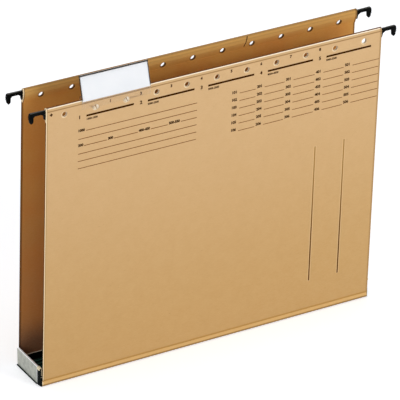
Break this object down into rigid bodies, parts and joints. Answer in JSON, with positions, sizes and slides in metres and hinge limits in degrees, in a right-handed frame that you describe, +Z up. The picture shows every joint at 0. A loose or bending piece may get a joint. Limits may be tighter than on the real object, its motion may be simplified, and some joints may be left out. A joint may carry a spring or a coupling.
{
  "type": "hanging file folder",
  "caption": "Board folder that hangs from two cabinet rails by moulded hooks at the ends of its steel-stiffened hems, with a ribbed base and a clear leaning index tab.",
  "frame": {"origin": "on the table, under the middle of the base board", "axes": "+Z up; +X to the right when the front panel with the index tab faces the reader; +Y from the front panel to the back panel"},
  "size_m": [0.348, 0.0436, 0.2798],
  "materials": {
    "kraft_board": "matt creased kraft board",
    "rail_steel": "plain rolled strip",
    "hook_plastic": "black moulded plastic with a slight sheen",
    "tray_plastic": "black-green moulded plastic",
    "end_plate_metal": "grey zinc-plated sheet",
    "clip_board": "cream board",
    "tab_film": "clear film",
    "label_paper": "blank white paper"
  },
  "bodies": {
    "base": {"base_board": "kraft_board", "base_tray": "tray_plastic", "left_end_plate": "end_plate_metal", "right_end_plate": "end_plate_metal", "left_corner_clip": "clip_board", "right_corner_clip": "clip_board"},
    "front_leaf": {"front_panel": "kraft_board", "front_rail": "rail_steel", "front_left_hook": "hook_plastic", "front_right_hook": "hook_plastic", "tab_holder": "tab_film"},
    "back_leaf": {"back_panel": "kraft_board", "back_rail": "rail_steel", "back_left_hook": "hook_plastic", "back_right_hook": "hook_plastic"},
    "label": {"tab_label": "label_paper"}
  },
  "joints": [
    {"name": "front_panel_fold", "type": "hinge", "parent": "base", "child": "front_leaf", "pos_m": [0, -0.021, 0.006], "axis": [1, 0, 0], "range_deg": [-3.5, 90]},
    {"name": "back_panel_fold", "type": "hinge", "parent": "base", "child": "back_leaf", "pos_m": [0, 0.021, 0.006], "axis": [-1, 0, 0], "range_deg": [-3.5, 90]},
    {"name": "label_slide", "type": "slide", "parent": "front_leaf", "child": "label", "axis": [1, 0, 0], "range_m": [-0.06, 0.06]}
  ]
}
